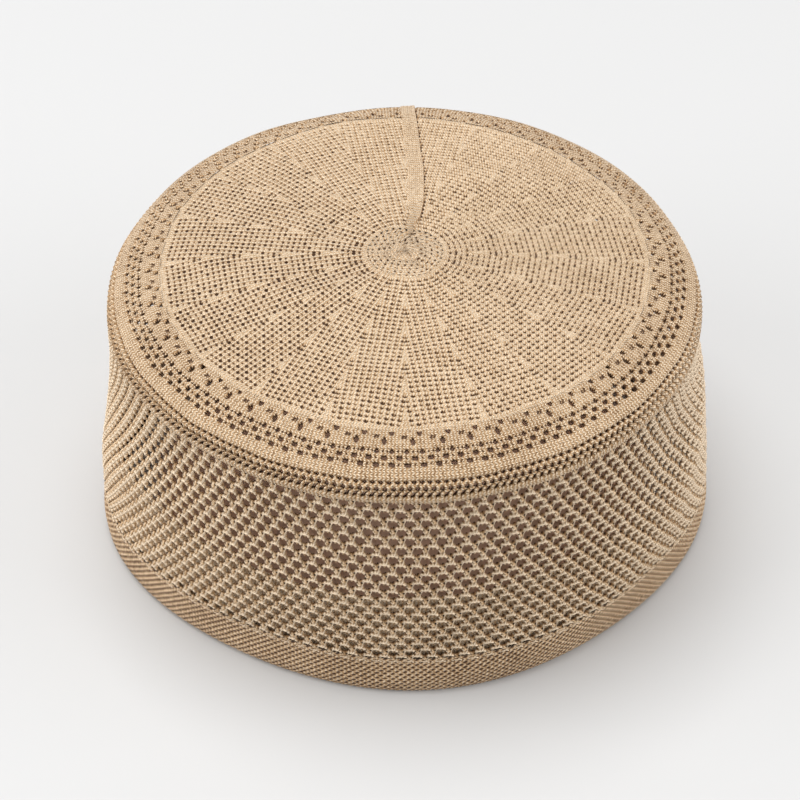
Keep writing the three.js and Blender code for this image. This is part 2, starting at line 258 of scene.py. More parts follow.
def knit_mesh(name, yarn, lift, place, wraps=True, clip=None, drop=None):
    """A mesh of cloth with holes from a grid of samples.

    yarn holds each sample's distance from the nearest hole, below zero inside one. lift is the
    height of the cloth there, clip is below zero where the piece ends, drop is how far a hole's
    edge falls there, and place turns columns, rows and lifts into points, stitch coordinates and
    places on the flat piece.
    """
    rows, columns = yarn.shape
    drop = np.full(yarn.shape, EDGE_DROP) if drop is None else drop
    clip = np.full(yarn.shape, 9.0) if clip is None else clip
    field = np.minimum(yarn, clip)
    solid = field > 0
    row_of, column_of = np.nonzero(solid)
    corner = np.full(yarn.shape, -1)
    corner[solid] = np.arange(len(row_of))
    count = len(row_of)
    high = lift[solid] - edge_drop(yarn[solid], drop[solid])
    spots = [np.stack([column_of, row_of, high], 1).astype(float)]

    def crossings(step_row, step_column):
        nonlocal count
        ahead_field = np.roll(field, (-step_row, -step_column), (0, 1))
        ahead_yarn = np.roll(yarn, (-step_row, -step_column), (0, 1))
        ahead_lift = np.roll(lift, (-step_row, -step_column), (0, 1))
        ahead_drop = np.roll(drop, (-step_row, -step_column), (0, 1))
        crossed = solid != (ahead_field > 0)
        if step_row or not wraps:
            crossed[rows - step_row :, :] = False
        if not wraps and step_column:
            crossed[:, -1] = False
        index = np.full(yarn.shape, -1)
        row, column = np.nonzero(crossed)
        index[crossed] = count + np.arange(len(row))
        count += len(row)
        here, there = field[crossed], ahead_field[crossed]
        share = here / (here - there)
        at_yarn = yarn[crossed] * (1 - share) + ahead_yarn[crossed] * share
        base = np.where(here > 0, lift[crossed], ahead_lift[crossed])
        fall = np.where(here > 0, drop[crossed], ahead_drop[crossed])
        spots.append(np.stack([
            column + share * step_column,
            row + share * step_row,
            base - edge_drop(np.maximum(at_yarn, 0), fall),
        ], 1))
        return index

    across = crossings(0, 1)
    down = crossings(1, 0)
    last = columns if wraps else columns - 1
    cells = (slice(0, rows - 1), slice(0, last))

    def shifted(array, row, column):
        moved = np.roll(array, (-row, -column), (0, 1))
        return moved[cells].ravel()

    corners = [shifted(corner, *step) for step in ((0, 0), (1, 0), (1, 1), (0, 1))]
    sides = [
        shifted(down, 0, 0),
        shifted(across, 1, 0),
        shifted(down, 0, 1),
        shifted(across, 0, 0),
    ]
    code = sum((corners[k] >= 0).astype(int) << k for k in range(4))
    loops, sizes = [], []
    for case in range(1, 16):
        chosen = np.nonzero(code == case)[0]
        if not len(chosen):
            continue
        ring = []
        for k in range(4):
            here, after = case >> k & 1, case >> ((k + 1) % 4) & 1
            if here:
                ring.append(corners[k][chosen])
            if here != after:
                ring.append(sides[k][chosen])
        loops.append(np.stack(ring, 1).ravel())
        sizes.append(np.full(len(chosen), len(ring)))
    loops = np.concatenate(loops)
    sizes = np.concatenate(sizes)
    column, row, height = np.concatenate(spots).T
    points, stitches, flat = place(column, row, height)
    loop_column = column[loops]
    starts = np.concatenate([[0], np.cumsum(sizes)[:-1]])
    if wraps:
        widest = np.repeat(np.maximum.reduceat(loop_column, starts), sizes)
        over = (widest > columns * 0.75) & (loop_column < columns * 0.25)
        loop_column = loop_column + over * columns
    turned = place(loop_column, row[loops], height[loops])
    return build_mesh(name, points, loops, sizes, turned[1], turned[2], -height)


def build_mesh(name, points, loops, sizes, stitches, flat, hollow):
    """A Blender object from arrays, with its stitch map, its flat map and its hollows, which the
    materials paint as shade.
    """
    mesh = bpy.data.meshes.new(name)
    starts = np.concatenate([[0], np.cumsum(sizes)[:-1]])
    mesh.vertices.add(len(points))
    mesh.vertices.foreach_set("co", points.astype(np.float32).ravel())
    mesh.loops.add(len(loops))
    mesh.loops.foreach_set("vertex_index", loops.astype(np.int32))
    mesh.polygons.add(len(sizes))
    mesh.polygons.foreach_set("loop_start", starts.astype(np.int32))
    mesh.polygons.foreach_set("loop_total", sizes.astype(np.int32))
    mesh.update(calc_edges=True)
    for layer_name, values in (("stitches", stitches), ("OFBake", flat)):
        layer = mesh.uv_layers.new(name=layer_name)
        layer.data.foreach_set("uv", values.astype(np.float32).ravel())
    # hollow: how deep each point lies below the cloth, darkened in the materials as painted shade.
    mesh.attributes.new("hollow", "FLOAT", "POINT")
    mesh.attributes["hollow"].data.foreach_set("value", hollow.astype(np.float32))
    mesh.validate()
    mesh.shade_smooth()
    piece = bpy.data.objects.new(name, mesh)
    bpy.context.scene.collection.objects.link(piece)
    return piece


def ring_place(columns, row_along, courses=COURSES, row_wale=None):
    """Places samples on a ring of cloth whose rows lie at the given lengths along the profile.

    courses is the number of stitches round the ring, row_wale each row's place in wales.
    """
    rows = np.arange(len(row_along))
    row_wale = row_along / WALE if row_wale is None else row_wale
    start, end = row_along[0], row_along[-1]

    def place(column, row, lift):
        angle = 2 * math.pi * column / columns
        along = np.interp(row, rows, row_along)
        stitches = np.stack([column / columns * courses, np.interp(row, rows, row_wale)], -1)
        flat = np.stack([column / columns, (along - start) / (end - start)], -1)
        return on_cloth(*strayed(angle, along), lift + sag(angle, along)), stitches, flat

    return place


# Soft unevenness of the cloth: waves round the cap and along the cloth
SAGS = [
    # waves round, millimetres of cloth per wave, phase, height in millimetres
    (3, 61.0, 0.4, 0.28),
    (5, 43.0, 2.1, 0.22),
    (8, 33.0, 4.0, 0.14),
    (13, 24.0, 1.3, 0.10),
]

# Uneven knitting: how far the stitches stray from their places
STRAYS = [
    # waves round, millimetres of cloth per wave, phase, stray in millimetres
    (19, 23.0, 0.7, 0.14),
    (43, 14.0, 2.9, 0.06),
    (97, 9.0, 5.1, 0.025),
]


def sag(angle, along):
    """Unevenness of the cloth off its smooth profile."""
    return sum(
        height * np.sin(round_waves * angle + 2 * math.pi * along / wave + phase)
        for round_waves, wave, phase, height in SAGS
    )


def strayed(angle, along):
    """An angle and a length of cloth, each moved by the unevenness of the knitting."""
    def stray(turn):
        return sum(
            size * np.sin(round_waves * angle + 2 * math.pi * along / wave + phase + turn)
            for round_waves, wave, phase, size in STRAYS
        )

    return angle + stray(0.0) / RIM_RADIUS, along + stray(2.0)


def grid_angle(columns):
    """Angle of each column of a ring."""
    return 2 * math.pi * np.arange(columns) / columns


# Motifs, in millimetres across and down from the middle of a hole
def inside_outline(x, y, corners):
    """Distance outside a hole's outline, whose corners go clockwise; below zero inside it."""
    distance = np.full(np.broadcast(x, y).shape, -99.0)
    for (x0, y0), (x1, y1) in zip(corners, corners[1:] + corners[:1]):
        length = math.hypot(x1 - x0, y1 - y0)
        normal = (y1 - y0) / length, -(x1 - x0) / length
        distance = np.maximum(distance, (x - x0) * normal[0] + (y - y0) * normal[1])
    return distance


def from_strand(x, y, points):
    """Distance from a strand that runs through the points."""
    nearest = np.full(np.broadcast(x, y).shape, 99.0)
    for (x0, y0), (x1, y1) in zip(points, points[1:]):
        dx, dy = x1 - x0, y1 - y0
        share = np.clip(((x - x0) * dx + (y - y0) * dy) / (dx * dx + dy * dy), 0, 1)
        nearest = np.minimum(nearest, np.hypot(x - x0 - share * dx, y - y0 - share * dy))
    return nearest


def strand_lift(distance, radius, top):
    """Height of a round strand whose top lies at a height; far below where there is none."""
    share = np.clip(distance / radius, 0, 1)
    return np.where(distance < radius, top - radius * (1 - np.sqrt(1 - share**2)), -9.0)


def outside_any(x, y, outlines):
    """Distance outside the nearest of several outlines."""
    return np.minimum.reduce([inside_outline(x, y, corners) for corners in outlines])


# Net motif: a heart-shaped hole under a zigzag strand, loops under it and two small pits
NET_ROW = 3.15
NET_HOLE = [
    [(-1.65, 0.1), (-0.95, -1.7), (-0.35, -1.0), (-0.35, 1.75), (-1.15, 0.95)],
    [(-0.35, -0.8), (-0.05, -0.85), (0.15, -1.1), (0.25, 1.4), (-0.35, 1.75)],
    [(0.1, -1.1), (0.45, -1.5), (1.45, -0.2), (1.0, 0.95), (0.2, 1.45)],
    [(0.9, -0.7), (1.4, -0.2), (2.1, 0.7), (1.85, 0.8), (0.9, 0.4)],
]
NET_STRANDS = [
    # points, radius, height of its top
    ([(-1.8, 0.5), (-1.2, 1.4), (-0.35, 2.15), (0.3, 1.9), (1.2, 1.35), (1.9, 1.0)], 0.28, 0.1),
    ([(-0.25, 2.15), (-0.2, 2.8)], 0.28, 0.12),
    ([(-1.5, 1.8), (-0.2, 3.0), (1.0, 2.1)], 0.28, 0.2),
    ([(-0.15, -2.0), (-0.15, -1.25)], 0.25, 0.1),
]
ZIGZAG_PEAK = -0.66
ZIGZAG_SWING = 0.98
ZIGZAG_POWER = 2.5
ZIGZAG_RADIUS = 0.34
ZIGZAG_TOP = 0.25
NET_GROUND = -0.4
NET_PITS = [(-0.92, 2.1), (0.5, 2.05)]
NET_PIT_DEPTH = 0.8
NET_PIT_RADIUS = 0.34
NET_PIT_ROW = 0.5
NET_LOOP = (1.3, 1.55)
NET_LOOP_RADIUS = 0.55
NET_LOOP_YARN = 0.22
NET_TOP_DROP = 0.3
NET_SIDE_DROP = 1.1
NET_PHASE = 0.27


def from_zigzag(x, y):
    """Distance from the zigzag strand: flat over a hole, steep beside it, low between holes."""
    turn = 2 * math.pi * x / NET_PITCH
    share = (1 - np.cos(turn)) / 2
    centre = NET_ROW * (ZIGZAG_PEAK + ZIGZAG_SWING * share**ZIGZAG_POWER)
    steep = NET_ROW / NET_PITCH * ZIGZAG_SWING * ZIGZAG_POWER * math.pi
    slope = steep * share ** (ZIGZAG_POWER - 1) * np.sin(turn)
    return np.abs(y - centre) / np.sqrt(1 + slope**2)


def net_motif(x, y):
    """Distance from the hole, height of the cloth and depth of the pits for one hole of the net."""
    lift = np.full(np.broadcast(x, y).shape, NET_GROUND)
    lift = np.maximum(lift, strand_lift(from_zigzag(x, y), ZIGZAG_RADIUS, ZIGZAG_TOP))
    for points, radius, top in NET_STRANDS:
        lift = np.maximum(lift, strand_lift(from_strand(x, y, points), radius, top))
    pits = [np.hypot(x - pit_x, y - pit_y) / NET_PIT_RADIUS for pit_x, pit_y in NET_PITS]
    depth = NET_PIT_DEPTH * sum(np.exp(-(share**2)) for share in pits)
    return outside_any(x, y, NET_HOLE), lift, depth


def tiled(motif, columns_per_gap, gaps, pitch, phase, row_share, row_height, row_starts):
    """Repeats a motif round the cap, each row half a gap on from the one before."""
    x = (np.arange(columns_per_gap) / columns_per_gap) * pitch
    yarn = np.full((len(row_share), columns_per_gap), 99.0)
    lift = np.full(yarn.shape, -9.0)
    depth = np.zeros(yarn.shape)
    for row in row_starts:
        shift = pitch / 2 * (row % 2)
        across = (x - shift - phase * pitch + pitch / 2) % pitch - pitch / 2
        down = (row_share[:, None] - row) * row_height
        near = np.abs(down[:, 0]) < 1.4 * row_height
        hole, high, pits = motif(across[None, :], down[near])
        yarn[near] = np.minimum(yarn[near], hole)
        lift[near] = np.maximum(lift[near], high)
        depth[near] = np.maximum(depth[near], pits)
    return np.tile(yarn, gaps), np.tile(lift - depth, gaps)


# Net side
NET_ROWS = 20
NET_COLUMNS_PER_GAP = 14
NET_SAMPLES_PER_ROW = 10
NET_FIRST_ROW_WIDER = 1.14
NET_LAST_ROW_NARROWER = 0.7
NET_BANDS = ("upper", "middle", "lower", "lowest")


def net_row_along():
    """Where each row of the net lies along the cloth: the upper rows are a little further apart."""
    pitch = np.linspace(NET_FIRST_ROW_WIDER, 2 - NET_FIRST_ROW_WIDER, NET_ROWS)
    pitch[-1] *= NET_LAST_ROW_NARROWER
    edges = np.concatenate([[0], np.cumsum(pitch)]) / pitch.sum()
    return SHOULDER_EDGE + edges * (HEM_TOP - SHOULDER_EDGE)


def make_net():
    """The net in bands, one below the other, each a mesh of its own."""
    edges = net_row_along()
    bands = np.array_split(np.arange(NET_ROWS), len(NET_BANDS))
    pieces = []
    for name, rows in zip(NET_BANDS, bands):
        share = np.arange(rows[0] * NET_SAMPLES_PER_ROW, (rows[-1] + 1) * NET_SAMPLES_PER_ROW + 1)
        share = share / NET_SAMPLES_PER_ROW
        along = np.interp(share, np.arange(NET_ROWS + 1), edges)
        yarn, lift = tiled(
            net_motif, NET_COLUMNS_PER_GAP, NET_GAPS, NET_PITCH, NET_PHASE, share - 0.5, NET_ROW,
            range(rows[0] - 1, rows[-1] + 2))
        columns = NET_COLUMNS_PER_GAP * NET_GAPS
        lift = lift - seam_groove(grid_angle(columns)[None, :], along[:, None])
        x = np.arange(columns) / NET_COLUMNS_PER_GAP - NET_PHASE
        x = x - 0.5 * (np.floor(share)[:, None] % 2)
        beside = np.abs((x + 0.5) % 1 - 0.5) * 2
        drop = NET_TOP_DROP + (NET_SIDE_DROP - NET_TOP_DROP) * np.clip(2 * beside - 0.5, 0, 1)
        place = ring_place(columns, along, courses=NET_GAPS, row_wale=share)
        piece = knit_mesh("net_knit_" + name, yarn, lift, place, drop=drop)
        pieces.append(piece)
    return pieces


# Ridge band over the shoulder
EYELET_OVERRUN = 1.6
RIDGE_ROWS = [
    # millimetres of cloth below the rim, hole's outline
    (5.7, [(-0.8, -0.5), (0.8, -0.5), (0.25, 0.5), (-0.25, 0.5)]),
    (7.65, [(-0.75, 0.0), (0.1, -0.9), (0.75, 0.0), (0.2, 0.85), (-0.25, 0.85)]),
    (9.5, [(-0.9, 0.5), (-0.1, -0.75), (0.8, -0.8), (0.1, 0.8), (-0.5, 0.85)]),
]
RIDGE_COLUMNS_PER_GAP = 6
RIDGE_STEP = 0.34
RIDGE_PILLOW = 0.3
RIDGE_SINK = 0.75
RIDGE_SINK_WIDTH = 0.22


def make_ridge():
    """The rolled band with its three fine rows of eyelets, between plain stitches."""
    start = RIM + EYELET_OVERRUN
    along = np.linspace(start, SHOULDER_EDGE, int(round((SHOULDER_EDGE - start) / RIDGE_STEP)) + 1)
    pitch = 2 * math.pi * (RIM_RADIUS + SHOULDER_REACH / 2) / RIDGE_GAPS
    x = (np.arange(RIDGE_COLUMNS_PER_GAP) / RIDGE_COLUMNS_PER_GAP) * pitch
    yarn = np.full((len(along), RIDGE_COLUMNS_PER_GAP), 99.0)
    for number, (down, outline) in enumerate(RIDGE_ROWS):
        across = (x - pitch / 2 * (number % 2) + pitch / 2) % pitch - pitch / 2
        rows = (along - RIM)[:, None] - down
        yarn = np.minimum(yarn, inside_outline(across[None, :], rows, outline))
    share = (along - start) / (SHOULDER_EDGE - start)
    bulge = RIDGE_PROUD * np.clip(np.minimum(share / 0.3, (1 - share) / 0.12), 0, 1)
    pierced = (along > RIM + RIDGE_ROWS[0][0]) & (along < RIM + RIDGE_ROWS[-1][0])
    pillow = np.where(pierced, RIDGE_PILLOW, 0.0)
    lift = bulge[:, None] + pillow[:, None] * np.clip(yarn / 0.8, 0, 1)
    # The cloth sinks round each hole and the material paints the sink as shade, a dark rim round a
    # smaller hole.
    lift = lift - RIDGE_SINK * np.exp(-np.maximum(yarn, 0) / RIDGE_SINK_WIDTH)
    yarn = yarn + RIDGE_SINK_WIDTH
    columns = RIDGE_COLUMNS_PER_GAP * RIDGE_GAPS
    lift = np.tile(lift, RIDGE_GAPS) - seam_groove(grid_angle(columns)[None, :], along[:, None])
    return knit_mesh("ridge_knit", np.tile(yarn, RIDGE_GAPS), lift, ring_place(columns, along))


# Eyelet ring: diagonal clusters of three, then three staggered rows
EYELET_HOLES = [
    # share of a cluster across, millimetres from the ring's inner edge, half width, half height
    (0.52, 0.7, 0.62, 0.95),
    (0.28, 3.75, 0.60, 0.95),
    (0.06, 6.9, 0.50, 0.55),
    (0.56, 6.9, 0.50, 0.55),
    (0.265, 8.9, 0.36, 0.40),
    (0.34, 8.95, 0.40, 0.60),
    (0.765, 8.9, 0.36, 0.40),
    (0.84, 8.95, 0.40, 0.60),
    (0.02, 11.0, 0.36, 0.40),
    (0.105, 11.1, 0.40, 0.56),
    (0.52, 11.0, 0.36, 0.40),
    (0.605, 11.1, 0.40, 0.56),
]
EYELET_PITS = [
    # share of a cluster across, millimetres from the ring's inner edge, half width, depth
    (0.91, 2.4, 0.75, 0.55),
    (0.02, 2.2, 0.80, 0.60),
    (0.92, 6.9, 0.32, 1.0),
    (0.42, 6.9, 0.32, 1.0),
    (0.26, 6.8, 0.36, 1.0),
    (0.76, 6.8, 0.36, 1.0),
    (0.06, 8.9, 0.32, 1.0),
    (0.56, 8.9, 0.32, 1.0),
    (0.31, 11.0, 0.32, 1.0),
    (0.81, 11.0, 0.32, 1.0),
]
EYELET_SINK = 0.3
EYELET_COLUMNS_PER_CLUSTER = 24
EYELET_STEP = 0.39


def make_eyelets():
    """The ring of eyelets that frames the crown."""
    end = RIM + EYELET_OVERRUN
    along = np.linspace(CROWN_EDGE, end, int(round((end - CROWN_EDGE) / EYELET_STEP)) + 1)
    pitch = 2 * math.pi * (RIM_RADIUS - EYELET_RING_WIDTH / 2) / CLUSTERS
    x = (np.arange(EYELET_COLUMNS_PER_CLUSTER) / EYELET_COLUMNS_PER_CLUSTER) * pitch
    down = (along - CROWN_EDGE)[:, None]
    yarn = np.full((len(along), EYELET_COLUMNS_PER_CLUSTER), 99.0)
    lift = np.zeros(yarn.shape)

    def offset(share):
        return ((x - share * pitch + pitch / 2) % pitch - pitch / 2)[None, :]

    for share, row, half_width, half_height in EYELET_HOLES:
        stretch = np.hypot(offset(share) / half_width, (down - row) / half_height)
        yarn = np.minimum(yarn, (stretch - 1) * half_width)
    for share, row, half_width, depth in EYELET_PITS:
        lift = lift - depth * np.exp(-(np.hypot(offset(share), down - row) / half_width) ** 2)
    lift = lift - EYELET_SINK * np.exp(-np.maximum(yarn, 0) / 0.5)
    columns = EYELET_COLUMNS_PER_CLUSTER * CLUSTERS
    lift = np.tile(lift, CLUSTERS) - seam_groove(grid_angle(columns)[None, :], along[:, None])
    return knit_mesh("eyelet_knit", np.tile(yarn, CLUSTERS), lift, ring_place(columns, along))


# Crown: twenty wedges, each with a straight lattice of large and small pits, round a plain middle
LATTICE_OUT = 1.7
LATTICE_ACROSS = 1.87
LATTICE_SAMPLES = 4
BIG_PIT = 0.55
SMALL_PIT = 0.45
BIG_DEPTH = 1.0
SMALL_DEPTH = 0.9
PIT_VARIETY = 0.35
PLAIN_EDGE = 0.15
LATTICE_START = 12.5
LATTICE_END = 72.8
WALE_RISE = 0.12
MIDDLE_EDGE = 11.5
CROWN_OVERLAP = 0.5
CROWN_TUCK = 0.25


def crown_flat(angle, along):
    """Place on the crown laid out flat, as a square from 0 to 1."""
    reach = (along / (CROWN_EDGE + CROWN_OVERLAP) / 2)[:, None]
    return 0.5 + np.stack([np.cos(angle), np.sin(angle)], -1) * reach


def make_crown():
    """The crown's disc, wedge by wedge, with its wedges welded."""
    half = math.pi / WEDGES
    step_out = LATTICE_OUT / LATTICE_SAMPLES
    step_across = LATTICE_ACROSS / LATTICE_SAMPLES
    outer = RIM_RADIUS - EYELET_RING_WIDTH + CROWN_OVERLAP
    out = np.arange(int(outer / step_out) + 2) * step_out
    most = int(outer * math.tan(half) / step_across) + 2
    across = np.arange(-most, most + 1) * step_across
    a, b = np.meshgrid(out, across, indexing="ij")
    radius = np.hypot(a, b)
    side = a * math.sin(half) - np.abs(b) * math.cos(half)
    clip = np.minimum(np.minimum(side, outer - radius), radius - MIDDLE_EDGE)
    column = np.round(a / LATTICE_OUT).astype(int)
    line = np.round(b / LATTICE_ACROSS).astype(int)
    distance = np.hypot(a - column * LATTICE_OUT, b - line * LATTICE_ACROSS)
    big = (column + line) % 2 == 0
    centre_a = column * LATTICE_OUT
    centre_side = centre_a * math.sin(half) - np.abs(line * LATTICE_ACROSS) * math.cos(half)
    pierced = (centre_side > PLAIN_EDGE) & (centre_a > LATTICE_START) & (centre_a < LATTICE_END)
    size = np.where(big, BIG_PIT, SMALL_PIT)
    depth = np.where(big, BIG_DEPTH, SMALL_DEPTH) * pierced
    wales = WALE_RISE * (np.cos(2 * math.pi * (a / LATTICE_OUT + 0.5)) - 1)
    tuck = CROWN_TUCK * np.clip((radius - outer + 2 * CROWN_OVERLAP) / CROWN_OVERLAP, 0, 1)
    whole = np.full(a.shape, 9.0)
    disc = profile.radius <= RIM_RADIUS
    variety = np.random.default_rng(11).uniform(-PIT_VARIETY, PIT_VARIETY, (WEDGES, len(out), 2 * most))
    pieces = []
    for wedge in range(WEDGES):
        middle = 2 * math.pi * (wedge + 0.5) / WEDGES
        varied = depth * (1 + variety[wedge, column, line])
        along_of = np.interp(radius, profile.radius[disc], profile.along[disc])
        groove = seam_groove(middle + np.arctan2(b, a), along_of)
        lift = wales - varied * np.exp(-((distance / size) ** 2)) - tuck - groove

        def place(column, row, height, middle=middle):
            a = row * step_out
            b = across[0] + column * step_across
            angle = middle + np.arctan2(b, a)
            along = np.interp(np.hypot(a, b), profile.radius[disc], profile.along[disc])
            stitches = np.stack([b / LATTICE_ACROSS * 2 + 50.5, a / LATTICE_OUT], -1)
            points = on_cloth(angle, along + 0 * angle, height + sag(angle, along))
            return points, stitches, crown_flat(angle, along)

        pieces.append(knit_mesh("crown_wedge_%d" % wedge, whole, lift, place, wraps=False, clip=clip))
    return weld("crown_knit", pieces)


MIDDLE_COLUMNS = 240
MIDDLE_STEP = 0.3
MIDDLE_COURSES = 44
MIDDLE_WALE = 0.95
MIDDLE_RISE = 0.15
MIDDLE_TWIST = 0.65
GATHER_COURSES = 18
MIDDLE_PIT_RINGS = [4.9, 6.5, 8.1, 9.8, 11.4]
MIDDLE_PIT_PITCH = 2.0
MIDDLE_PIT_DEPTH = 0.8
MIDDLE_PIT_SIZE = 0.4

# Creases where the seam ends, in millimetres from the middle, x to the right and y to the back
CREASES = [
    [(2.3, 9.2), (0.6, 7.6), (-0.8, 3.1)],
    [(2.3, 9.2), (3.1, 7.6), (4.0, 4.1)],
]
CREASE_DEPTH = 0.28
CREASE_WIDTH = 0.3


def middle_lift(angle, along):
    """Rings of stitches about the crown's middle, with the creases in them."""
    x, y = along * np.cos(angle), along * np.sin(angle)
    crease = np.minimum.reduce([from_strand(x, y, points) for points in CREASES])
    rings = MIDDLE_RISE * (np.cos(2 * math.pi * along / MIDDLE_WALE) - 1)
    for number, at in enumerate(MIDDLE_PIT_RINGS):
        count = int(2 * math.pi * at / MIDDLE_PIT_PITCH)
        turns = (angle / (2 * math.pi) * count + 0.5 * number) % 1 - 0.5
        off = np.hypot(turns * MIDDLE_PIT_PITCH, along - at)
        rings = rings - MIDDLE_PIT_DEPTH * np.exp(-((off / MIDDLE_PIT_SIZE) ** 2))
    return rings - CREASE_DEPTH * np.exp(-((crease / CREASE_WIDTH) ** 2))


def middle_stitches(turns, along, courses=MIDDLE_COURSES):
    """Stitch coordinates about the crown's middle: each ring is turned from the one inside it."""
    return np.stack([turns * courses + along * MIDDLE_TWIST, along / MIDDLE_WALE], -1)


def make_middle():
    """Plain rings of stitches between the gather and the lattice."""
    end = profile.at_radius(MIDDLE_EDGE) + CROWN_OVERLAP
    along = np.linspace(GATHER_EDGE, end, int(round((end - GATHER_EDGE) / MIDDLE_STEP)) + 1)
    angle = grid_angle(MIDDLE_COLUMNS)[None, :]
    tuck = CROWN_TUCK * np.clip((along - end + CROWN_OVERLAP) / CROWN_OVERLAP, 0, 1)
    lift = middle_lift(angle, along[:, None]) - tuck[:, None] - seam_groove(angle, along[:, None])

    def place(column, row, height):
        angle = 2 * math.pi * column / MIDDLE_COLUMNS
        at = np.interp(row, np.arange(len(along)), along)
        stitches = middle_stitches(column / MIDDLE_COLUMNS, at)
        return on_cloth(angle, at, height + sag(angle, at)), stitches, crown_flat(angle, at)

    shape = (len(along), MIDDLE_COLUMNS)
    return knit_mesh("crown_middle_knit", np.full(shape, 9.0), lift, place)


def make_gather():
    """Puckered middle of the crown."""
    rows, columns = 24, 120
    along = np.linspace(0, GATHER_EDGE, rows)

    def place(column, row, height):
        angle = 2 * math.pi * column / columns
        at = np.interp(row, np.arange(rows), along)
        stitches = middle_stitches(column / columns, at, GATHER_COURSES)
        return on_cloth(angle, at, height + sag(angle, at)), stitches, crown_flat(angle, at)

    lift = middle_lift(grid_angle(columns)[None, :], along[:, None])
    return knit_mesh("gather_knit", np.full(lift.shape, 9.0), lift, place)


def weld(name, pieces):
    """Joins pieces into one object and welds the corners that meet."""
    first = pieces[0]
    first.name = name
    first.data.name = name
    with bpy.context.temp_override(
            active_object=first, object=first, selected_objects=pieces,
            selected_editable_objects=pieces):
        bpy.ops.object.join()
    work = bmesh.new()
    work.from_mesh(first.data)
    bmesh.ops.remove_doubles(work, verts=work.verts, dist=0.00002)
    work.to_mesh(first.data)
    work.free()
    return first


# Hem, facing, seam and gather
HEM_COLUMNS = 960
HEM_STEP = 0.4
HEM_OVERLAP = 1.5
HEM_DASHES = 240
HEM_DASH_ROW = 1.05
HEM_DASH_SLANT = 0.35
HEM_DASH_SIZE = 0.26
HEM_DASH_DEPTH = 0.45
FOLD_SECTIONS = [
    # inward as a share of the fold's width, height as a share of the fold's height
    (0.00, 1.20),
    (0.08, 0.50),
    (0.33, 0.00),
    (0.83, 0.00),
    (1.00, 0.35),
    (1.00, 1.00),
]


def make_hem():
    """Plain edge of the side with its rows of slanted dashes, folded in under itself."""
    start, fold_top = HEM_TOP - HEM_OVERLAP, profile.at_height(FOLD_SECTIONS[0][1] * FOLD_HEIGHT)
    wall = np.linspace(start, fold_top, int(round((fold_top - start) / HEM_STEP)) + 1)
    radius, height = profile.point(wall, 0.0)
    points = list(zip(radius, height))[:-1]
    fold = []
    for inward, up in FOLD_SECTIONS:
        at, _ = profile.point(profile.at_height(up * FOLD_HEIGHT), 0.0)
        fold.append((float(at) - inward * FOLD_WIDTH, up * FOLD_HEIGHT))
    points += [tuple(p) for p in spline(fold, 20)]
    points = np.array(points)
    length = np.concatenate([[0], np.cumsum(np.hypot(*np.diff(points, axis=0).T))])
    row_of = (length / HEM_DASH_ROW)[:, None]
    across = np.arange(HEM_COLUMNS)[None, :] / HEM_COLUMNS * HEM_DASHES
    down = row_of % 1 - 0.5
    over = (across + 0.5 * (np.floor(row_of) % 2) + HEM_DASH_SLANT * down) % 1 - 0.5
    lift = -HEM_DASH_DEPTH * np.exp(-(np.hypot(over, down) / HEM_DASH_SIZE) ** 2)

    def place(column, row, lift):
        angle = 2 * math.pi * column / HEM_COLUMNS
        radius = np.interp(row, np.arange(len(points)), points[:, 0])
        height = np.interp(row, np.arange(len(points)), points[:, 1])
        along = np.interp(row, np.arange(len(points)), length)
        fade = np.clip((height - FOLD_HEIGHT) / FOLD_HEIGHT, 0, 1)
        radius = radius + lift + fade * sag(angle, start + along)
        stitches = np.stack([column / HEM_COLUMNS * HEM_DASHES, along / HEM_DASH_ROW], -1)
        flat = np.stack([column / HEM_COLUMNS, along / length[-1]], -1)
        return in_frame(radius, angle, np.maximum(height, 0.0)), stitches, flat

    return knit_mesh("hem_knit", np.full(lift.shape, 9.0), lift, place)


def make_facing():
    """Turned-in end of the cloth, behind the lower half of the net."""
    columns, rows = 360, 18
    inward = -WALL - PIECE_GAP
    top = profile.at_height(FACING_HEIGHT)
    foot = profile.at_height(FOLD_HEIGHT + PIECE_GAP)
    along = np.linspace(top, foot, rows)
    shape = (rows, columns)
    place = ring_place(columns, along)
    return knit_mesh("facing_knit", np.full(shape, 9.0), np.full(shape, inward), place)


# Seam: its right edge lies at these sides of the middle, by the length of cloth from the middle
SEAM_PATH = [
    # along, right edge
    (9.2, 2.3),
    (14.5, 2.7),
    (18.5, 4.6),
    (24.8, 5.6),
    (33.0, 5.9),
    (45.0, 5.8),
    (52.5, 5.1),
    (66.0, 4.3),
    (80.0, 3.3),
    (110.0, 3.5),
    (190.0, 3.8),
]
SEAM_START = 9.2
SEAM_NARROW = 1.2
SEAM_FULL_WIDTH_AT = 26.0
SEAM_WALES = 4
SEAM_WALE_RISE = 0.05
SEAM_SECTION = [
    # share across from the left, share of the seam's thickness
    (0.00, -0.60),
    (0.10, -0.05),
    (0.35, 0.08),
    (0.62, 0.12),
    (0.82, 0.30),
    (0.93, 0.35),
    (1.00, -0.10),
    (1.02, -1.10),
]
GROOVE_DEPTH = 0.45
GROOVE_WIDTH = 0.5


def seam_edge(along):
    """Side of the seam's right edge at a length of cloth."""
    path = np.array(SEAM_PATH)
    return np.interp(along, path[:, 0], path[:, 1])


def seam_groove(angle, along):
    """Depth of the groove on the right of the seam."""
    radius = np.interp(along, profile.along, profile.radius)
    past = radius * np.cos(angle) - seam_edge(along)
    grown = np.clip((along - SEAM_START) / (SEAM_FULL_WIDTH_AT - SEAM_START), 0, 1)
    depth = GROOVE_DEPTH * np.sqrt(grown) * np.exp(-((past / GROOVE_WIDTH) ** 2))
    return np.where(np.sin(angle) > 0, depth, 0.0)


